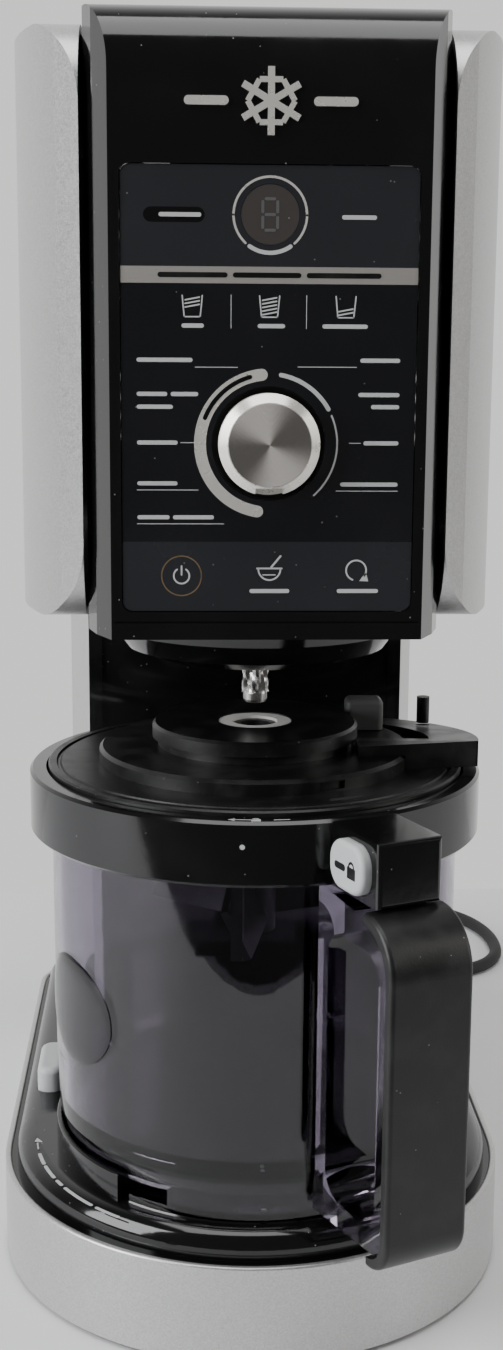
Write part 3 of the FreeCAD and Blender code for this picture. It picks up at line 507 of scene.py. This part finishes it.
for u in (-11.5, 11.1):
    light.append(stroke([(u, 339.5), (u, 349.2)], 0.2))
print("bars:", len(ROWS), "rules:", len(RULES))


# %% Cup, bowl and arrow icons
def cup(u, v, full_from, full_to):
    """A tub 6 wide and 6 high, its filled part hatched with slanting strokes."""
    side = [(u - 3.0, v + 6.2), (u - 2.4, v), (u + 2.4, v), (u + 3.0, v + 6.2)]
    hatch = [stroke([(u - 2.1, v + z), (u + 2.1, v + z + 0.8)], 0.45)
             for z in np.arange(full_from, full_to, 1.05)]
    return [stroke(side[k:k + 2], 0.4) for k in range(3)] + hatch


light += cup(-23.1, 342.8, 2.8, 5.0) + cup(0.0, 342.8, 0.7, 5.0) + cup(22.9, 342.8, 0.7, 2.8)
light += [arc(0.6, 267.0, 3.4, 180, 360, 0.5), stroke([(-3.2, 267.2), (4.4, 267.2)], 0.5),
          stroke([(1.2, 267.6), (4.0, 271.0)], 0.6), stroke([(-1.4, 265.2), (2.4, 265.2)], 0.35)]
light += [arc(27.4, 266.6, 3.1, -35, 250, 0.5),
          np.array([(28.4, 263.3), (31.2, 263.2), (30.4, 266.0)])]
light += [arc(-26.4, 264.9, 2.4, 125, 415, 0.5), stroke([(-26.4, 265.2), (-26.4, 267.9)], 0.5)]
light += [arc(0, DIAL_V, 20.9, 24, -48, 0.55), arc(0, DIAL_V, 20.9, 80, 30, 1.3)]


def upright(y):
    """Place (u, v) on an upright plane at that y, u to the right and v up."""
    return flat((0, y, 0), (1, 0, 0), (0, 0, 1))


PANEL_Y = -0.11535
panel_face = upright(PANEL_Y)
printed("panel_print", light, panel_face, "grey_key", "base")

# %% Silver rings and the dark marks on them
silver = [arc(0, DISPLAY_V, 10.9, 0, 180, 0.7)] + [arc(0, DISPLAY_V, 10.9, 180, 228, 0.7),
                                                  arc(0, DISPLAY_V, 10.9, -48, 0, 0.7)]
silver += [arc(0, DIAL_V, 20.75, 96, 261, 3.6, 65)]
printed("panel_rings", silver, panel_face, "bright_metal", "base")
printed("display_caption", [arc(0, DISPLAY_V, 10.9, 236, 304, 1.2)], panel_face, "grey_key", "base")
over_rings = upright(PANEL_Y - 0.07 * MM)
printed("ring_caption", [arc(0, DIAL_V, 20.75, 106, 158, 1.3)], over_rings, "black_gloss", "base")
printed("install_pill", [bar(-37.6, -19.4, 372.3, 4.4)], upright(PANEL_Y + 0.04 * MM), "black_gloss",
        "base")
printed("power_ring", loop(-26.4, 264.9, 6.1, 0.4), panel_face, "bronze", "base")
slogan = [bar(u, w, 355.0, 1.5) for u, w in ((-33.4, -12.6), (-11.0, 9.4), (11.0, 33.4))]
printed("stripe_print", slogan, upright(PANEL_Y - 0.1 * MM), "black_satin", "base")


# %% A sleeping figure in the display
def segments(u, v, w, h):
    """The seven bars of a figure eight, w wide and h high."""
    x, y = w / 2, h / 2
    lying = [bar(u - x + 0.5, u + x - 0.5, v + k * y, 0.9) for k in (-1, 0, 1)]
    reach = y / 2 - 0.8
    standing = [stroke([(u + a * x, v + b * y - reach), (u + a * x, v + b * y + reach)], 0.9)
                for a in (-1, 1) for b in (-0.5, 0.5)]
    return lying + standing


printed("display_figure", segments(0.0, 372.5, 4.4, 9.0),
        upright(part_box("display_window")[0][1]), "latch_grey", "base")

# %% [markdown]
# ## Marks on the lid, bowl and base
#
# A dot on the collar lines up with a dot on the turntable. Arrows and a small padlock show which way
# to turn. The padlock on the release key is placed by measuring the key's own outer face.

# %% Padlocks, dots and arrows
def padlock(u, v, s):
    """A padlock: a square body s wide and a half ring above it."""
    body = np.array([(-0.5, -0.5), (0.5, -0.5), (0.5, 0.25), (-0.5, 0.25)]) * s + (u, v)
    return [body, arc(u, v + 0.25 * s, 0.3 * s, 0, 180, 0.16 * s)]


def level(z):
    """Place (u, v) on a level plane at that height, measured from the bowl's centre line."""
    return flat((0, AXIS_Y, z), (1, 0, 0), (0, 1, 0))


def outer_face(node, normal):
    """Middle of a part's vertices that lie furthest along a direction."""
    mesh = frame["nodes"][node].data
    co = np.empty(len(mesh.vertices) * 3)
    mesh.vertices.foreach_get("co", co)
    co = co.reshape(-1, 3)
    reach = co @ np.array(normal)
    rim = co[reach > reach.max() - 2e-4]
    return (rim.max(axis=0) + rim.min(axis=0)) / 2


key_out = np.array((-0.91775, -0.39715, 0.0))
key_right = np.array((0.39715, -0.91775, 0.0))
key_middle = outer_face("lid_button", key_out)
key_face = flat(key_middle + 1e-4 * key_out, key_right, (0, 0, 1))
print("key face at", key_middle.round(4).tolist())
key_mark = padlock(3.9, -0.3, 5.0) + [bar(-6.6, 0.2, -0.3, 2.3)]
printed("key_mark", key_mark, key_face, "black_satin", "lid_button")

collar_wall = round_wall(0.0801)
printed("collar_dot", [dot(0, 0, 1) * (0.62, 0.85) + (-95.4, 180.0)], collar_wall, "grey_key", "bowl")
arrow = [arc(0, 0, 77.2, -97.5, -93.0, 0.5), np.array([(-11.9, -76.3), (-9.6, -75.4), (-9.9, -77.9)]),
         arc(0, 0, 77.2, -88.0, -84.5, 0.5)]
printed("collar_marks", arrow + padlock(-3.2, -77.2, 3.0), level(0.1881), "grey_key", "bowl")
turntable_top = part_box("turntable")[1][2]
printed("turntable_dot", [dot(0.8, -68.4, 0.9)], level(turntable_top), "grey_key", "turntable")

# %% Marks on the deck and the lid
words = [(193, 198.5), (200, 206.5), (208.5, 211), (213, 224), (226, 233)]
curve_words = [arc(0, 0, 80.0, a, b, 1.3, 9) for a, b in words]
deck_arrow = [arc(0, 0, 80.0, 186.5, 190.0, 0.5), np.array([(-80.6, -8.1), (-77.6, -8.6), (-79.9, -5.2)])]
printed("deck_print", curve_words + deck_arrow, level(0.0460), "grey_key", "base")
printed("lid_slot", [arc(0, 0, 64.0, -69, -60, 2.6, 9)], level(0.1898), "rubber", "lid")


# %% [markdown]
# ## The raised oval on the bowl
#
# A smooth pad stands out from the clear wall on the left. Its height is a plateau that falls off
# near the edge of an ellipse, and the wall's curve carries it round.

# %% Oval pad
def oval_pad(centre_deg, centre_z, half_w, half_h, wall, rise, n_r=28, n_t=96):
    """Points s (a cos t, b sin t) for s from 0 to 1, at radius wall + rise (1 - s^8), wrapped on
    the wall by angle = u / wall. The middle is one shared point, so the pad has no hole."""
    s = np.linspace(0, 1, n_r + 1)[1:, None]
    t = np.linspace(0, 2 * math.pi, n_t, endpoint=False)[None, :]
    u = np.append(0.0, (s * half_w * np.cos(t)).ravel())
    v = np.append(0.0, (s * half_h * np.sin(t)).ravel())
    r = wall + rise * (1 - np.append(0.0, (s + 0 * t).ravel()) ** 8)
    a = math.radians(centre_deg) + u / wall
    verts = np.stack([r * np.cos(a), AXIS_Y + r * np.sin(a), centre_z + v], axis=1)
    k = np.arange(n_t)
    nxt = (k + 1) % n_t
    fan = np.stack([0 * k, 1 + k, 1 + nxt], axis=1).tolist()
    rings = 1 + n_t * np.arange(n_r - 1)[:, None]
    quads = np.stack([rings + k, rings + n_t + k, rings + n_t + nxt, rings + nxt], axis=2)
    return verts, fan + quads.reshape(-1, 4).tolist()


verts, faces = oval_pad(207, 0.108, 0.024, 0.019, 0.07252, 0.0008)
pad = mesh_object("bowl_oval", verts, faces, "clear_smoke", "bowl")
pad.data.polygons.foreach_set("use_smooth", np.ones(len(faces), bool))
print("oval pad faces:", len(faces))

# %% [markdown]
# ## The room
#
# A pale worktop and soft daylight: one broad window on the left, a weaker one on the right, and a
# little light from above. Behind the machine the room is pale, and in front of it dim, so that the
# black parts stay black.

# %% Worktop
def worktop_paint(colour):
    f = Finish("worktop paint")
    f.bump(f.noise(300.0, 4.0), 0.00004, 0.5)
    return f.paint(base_color=f.mix(f.noise(6.0, 3.0) * 0.15, colour, grey(0.5)),
                   roughness=0.55 + f.noise(40.0) * 0.2)


HALF_WIDTH = 3.0
BACK_Y = 0.378                        # the worktop ends just behind the lead
FRONT_Y = -0.42                       # and stops short in front, so the bowl mirrors a dim room
top = bpy.data.meshes.new("worktop")
top.from_pydata([(-HALF_WIDTH, FRONT_Y, 0), (HALF_WIDTH, FRONT_Y, 0), (HALF_WIDTH, BACK_Y, 0),
                 (-HALF_WIDTH, BACK_Y, 0)], [], [(0, 1, 2, 3)])
top.materials.append(worktop_paint(grey(0.80, (0.99, 0.99, 1))))
worktop = bpy.data.objects.new("worktop", top)
bpy.context.scene.collection.objects.link(worktop)


# %% Light
def window(name, place, target, size, power, colour=(1, 1, 1)):
    """A rectangle of light of size (across, up) at place, facing target, of power watts."""
    lamp = bpy.data.lights.new(name, "AREA")
    lamp.shape, lamp.size, lamp.size_y, lamp.energy, lamp.color = "RECTANGLE", *size, power, colour
    obj = bpy.data.objects.new(name, lamp)
    bpy.context.scene.collection.objects.link(obj)
    away = Vector(place) - Vector(target)
    obj.matrix_world = Matrix.Translation(place) @ away.to_track_quat("Z", "Y").to_matrix().to_4x4()


window("left window", (-1.5, -0.7, 0.9), (0, 0, 0.25), (1.0, 1.5), 44, (0.97, 0.98, 1.0))
window("right window", (1.6, -0.5, 0.8), (0, 0, 0.25), (0.6, 1.2), 12, (1.0, 0.98, 0.95))
window("ceiling", (0.0, -0.3, 2.0), (0, 0.1, 0), (1.6, 1.2), 24)


# %% The pale room behind
def room(front, back, tint):
    """A background whose brightness rises from front to back with the Y of the direction."""
    world = bpy.data.worlds.new("room")
    world.use_nodes = True
    nodes, links = world.node_tree.nodes, world.node_tree.links
    split, ramp = nodes.new("ShaderNodeSeparateXYZ"), nodes.new("ShaderNodeMapRange")
    ramp.interpolation_type = "SMOOTHSTEP"
    for key, value in (("From Min", 0.1), ("From Max", 0.8), ("To Min", front), ("To Max", back)):
        ramp.inputs[key].default_value = value
    links.new(nodes.new("ShaderNodeTexCoord").outputs["Generated"], split.inputs["Vector"])
    links.new(split.outputs["Y"], ramp.inputs["Value"])
    links.new(ramp.outputs["Result"], nodes["Background"].inputs["Strength"])
    nodes["Background"].inputs["Color"].default_value = tint
    bpy.context.scene.world = world


room(0.09, 0.95, (0.99, 0.985, 0.98, 1))
